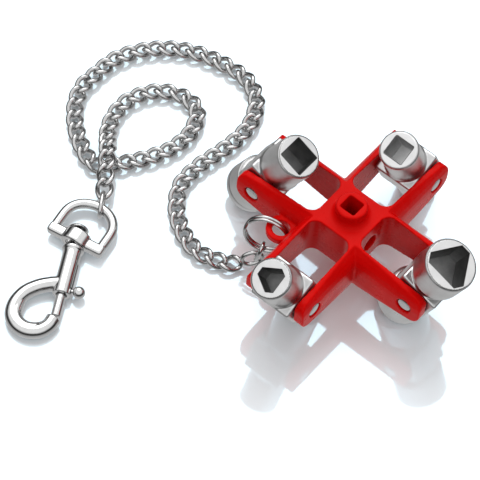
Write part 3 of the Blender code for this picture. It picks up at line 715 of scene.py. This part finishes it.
def make_snap_eye():
    """A D-shaped wire on a bar, with a boss in the bar's middle that the snap's post turns in."""
    half, shoulder, apex = 7.75 * MM, 5.4 * MM, 13.0 * MM
    drop = -0.3 * MM
    rise = apex - shoulder
    points = [Vector((-0.2 * MM, -half, drop)), Vector((shoulder * 0.5, -half, drop))]
    for i in range(33):
        angle = math.radians(-90 + 180 * i / 32)
        x = shoulder + rise * abs(math.cos(angle)) ** 0.85
        points.append(Vector((x, half * math.sin(angle), drop)))
    points += [Vector((shoulder * 0.5, half, drop)), Vector((-0.2 * MM, half, drop))]
    steps, wire_radius = 110, 1.5 * MM
    points = [EYE @ p for p in smooth_line(points, steps)]
    wire = tube("eye_wire", points, [wire_radius] * steps, 24)
    bar = bake(block("eye_bar", (3.5 * MM, 18.4 * MM, 3.2 * MM), EYE @ Matrix.Translation((0, 0, drop)),
                     1.0 * MM, 5))
    lying = EYE @ Matrix.Rotation(math.radians(90), 4, "Y")
    saddle = EYE @ Matrix.Diagonal((1.0, 1.25, 1.0, 1.0)) @ Matrix.Rotation(math.radians(90), 4, "Y")
    radius, half_height = 3.3 * MM, 2.2 * MM
    corners = [(0.0, half_height), (radius, half_height), (radius, -half_height), (0.0, -half_height)]
    boss = bake(turned("eye_boss", rounded(corners, 0.6 * MM), saddle, 64))
    eye = fused("eye_casting", [wire, bar, boss], CASTING_VOXEL, 16, NICKEL, 180)
    hole_radius, reach = 2.35 * MM, 6 * MM
    hole = bake(turned("eye_hole", [(0.0, reach), (hole_radius, reach), (hole_radius, -reach), (0.0, -reach)],
                       lying, 64))
    cut(eye, hole)
    eye = bake(eye)
    remove(hole)
    shade(eye, NICKEL, 40)
    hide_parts("snap_eye")
    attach(eye, "key")
    return eye


def make_snap_body():
    """The post's head and neck, the bored shaft and the hook, as one casting."""
    lying = SNAP @ Matrix.Rotation(math.radians(-90), 4, "Y")
    profile = [(0.0, 4.5), (1.9, 4.25), (2.85, 3.65), (3.1, 3.15), (2.8, 2.95), (1.4, 2.95), (1.4, -3.1),
               (2.9, -3.1), (3.2, -3.4), (3.2, -4.1), (2.8, -4.5), (2.7, -5.2), (2.7, -18.8), (2.5, -19.0),
               (0.0, -19.0)]
    shaft = bake(turned("snap_shaft", [(r * MM, z * MM) for r, z in profile], lying, 80))
    line = smooth_line([Vector((x, y, 0.0)) * MM for x, y in HOOK_LINE], HOOK_STEPS)
    hook = tube("snap_bend", [SNAP @ p for p in line], [HOOK_WIRE] * HOOK_STEPS, 28)
    belly = [p + (BELLY_MIDDLE - p).normalized() * BELLY_SHIFT for p in line[BELLY]]
    last = len(belly) - 1
    radii = [(2.05 - 0.6 * abs(2 * i / last - 1) ** 4) * MM for i in range(last + 1)]
    belly = tube("snap_belly", [SNAP @ p for p in belly], radii, 28)
    body = fused("snap_casting", [shaft, hook, belly], CASTING_VOXEL, 8, NICKEL, 180)
    length = 14.2 * MM
    bore = bake(turned("snap_bore", [(0.0, length), (BORE_RADIUS, length), (BORE_RADIUS, 0.0), (0.0, 0.0)],
                       SNAP @ Matrix.Translation((5.2 * MM, 0, 0)) @ Matrix.Rotation(math.radians(90), 4, "Y"), 48))
    slot = bake(block("snap_slot", (9.5 * MM, 4 * MM, 1.8 * MM),
                      SNAP @ Matrix.Translation((13.35 * MM, 2 * MM, 0)), 0.0))
    cut(body, bore)
    cut(body, slot)
    body = bake(body)
    remove(bore, slot)
    shade(body, NICKEL, 40)
    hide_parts("snap_body")
    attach(body, "snap")
    return body


def make_bolt():
    """The sliding bolt, and the ball knob on its stem."""
    lying = SNAP @ Matrix.Translation((15.4 * MM, 0, 0)) @ Matrix.Rotation(math.radians(90), 4, "Y")
    length = 10.8 * MM
    profile = rounded([(0.0, length), (BOLT_RADIUS, length), (BOLT_RADIUS, 0.0), (0.0, 0.0)], 0.3 * MM)
    bolt = bake(turned("bolt_pin", profile, lying, 64))
    shade(bolt, NICKEL, 50)
    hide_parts("snap_bolt")
    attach(bolt, "bolt")
    radius, out, steps = 1.85, 4.8, 28
    angles = [math.radians(161 * i / steps) for i in range(steps + 1)]
    ball = [(radius * math.sin(a), out + radius * math.cos(a)) for a in angles]
    ball[0] = (0.0, 6.65)
    stem = [(r * MM, z * MM) for r, z in ball + [(0.62, 2.9), (0.6, 2.7), (0.6, 0.35), (0.0, 0.35)]]
    place = SNAP @ Matrix.Translation((17.2 * MM, 0, 0)) @ Matrix.Rotation(math.radians(-90), 4, "X")
    knob = bake(turned("thumb_knob", stem, place, 64))
    shade(knob, NICKEL, 50)
    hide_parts("bolt_knob")
    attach(knob, "bolt")
    return [bolt, knob]


SPRING_START = 5.56 * MM            # along the shaft from the swivel
SPRING_END = 14.95 * MM
SPRING_RADIUS = 1.1 * MM
SPRING_WIRE = 0.15 * MM
SPRING_TURNS = 6


def make_spring():
    """The bolt's return spring, which shortens towards the bore's end as the bolt is drawn back."""
    points = []
    count = SPRING_TURNS * 24 + 1
    for i in range(count):
        turn = 2 * math.pi * SPRING_TURNS * i / (count - 1)
        along = SPRING_START + (SPRING_END - SPRING_START) * i / (count - 1)
        points.append(SNAP @ Vector((along, SPRING_RADIUS * math.cos(turn), SPRING_RADIUS * math.sin(turn))))
    spring = tube("return_spring", points, [SPRING_WIRE] * count, 10)
    shade(spring, PLATED, 60)
    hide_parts("bolt_spring")
    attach(spring, "snap")
    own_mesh(spring)
    return spring


snap = [make_snap_eye(), make_snap_body(), *make_bolt(), make_spring()]


# ---- floor and lights -----------------------------------------------------------------------------
def make_floor():
    """A pale floor just below the object, with a faint reflection."""
    mesh = bpy.data.meshes.new("floor")
    size = 3.0                      # m, from the middle to each side
    mesh.from_pydata([(-size, -size, 0), (size, -size, 0), (size, size, 0), (-size, size, 0)], [],
                     [(0, 1, 2, 3)])
    floor = add_object("floor", mesh, Matrix.Translation((0, 0, -0.05 * MM)))
    made = bpy.data.materials.new("floor")
    made.use_nodes = True
    tree = made.node_tree
    tree.nodes.clear()
    out = tree.nodes.new("ShaderNodeOutputMaterial")
    mix = tree.nodes.new("ShaderNodeMixShader")
    matte = tree.nodes.new("ShaderNodeBsdfDiffuse")
    matte.inputs["Color"].default_value = (0.95, 0.975, 1.0, 1)
    gloss = tree.nodes.new("ShaderNodeBsdfGlossy")
    gloss.inputs["Color"].default_value = (0.6, 0.86, 1.0, 1)
    gloss.inputs["Roughness"].default_value = 0.06
    mix.inputs["Fac"].default_value = 0.22
    tree.links.new(matte.outputs[0], mix.inputs[1])
    tree.links.new(gloss.outputs[0], mix.inputs[2])
    tree.links.new(mix.outputs[0], out.inputs["Surface"])
    floor.data.materials.append(made)
    floor.visible_glossy = False


def make_light():
    """A bright soft dome overhead, dark round the horizon, and one broad sun from the back left."""
    world = bpy.data.worlds.new("world")
    bpy.context.scene.world = world
    world.use_nodes = True
    tree = world.node_tree
    back = tree.nodes["Background"]
    ray = tree.nodes.new("ShaderNodeTexCoord").outputs["Generated"]
    split = tree.nodes.new("ShaderNodeSeparateXYZ")
    tree.links.new(ray, split.inputs[0])
    lift = tree.nodes.new("ShaderNodeMapRange")
    lift.inputs["From Min"].default_value = -1.0
    lift.inputs["From Max"].default_value = 1.0
    tree.links.new(split.outputs["Z"], lift.inputs["Value"])
    sky = ramp(tree, lift.outputs["Result"], (
        (0.0, grey(0.6)), (0.3, grey(0.45)), (0.42, grey(0.08)), (0.56, grey(0.015)), (0.66, grey(0.12)),
        (0.8, grey(1.0)), (1.0, grey(1.0))))
    tree.links.new(sky, back.inputs["Color"])
    back.inputs["Strength"].default_value = 1.15
    lamp = bpy.data.lights.new("key_light", "SUN")
    lamp.energy = 1.1
    lamp.angle = math.radians(50)
    sun = bpy.data.objects.new("key_light", lamp)
    sun.rotation_euler = Vector((-0.4, 0.45, 0.8)).to_track_quat("Z", "Y").to_euler()
    bpy.context.scene.collection.objects.link(sun)


make_floor()
make_light()
bpy.context.scene.view_settings.view_transform = "Standard"
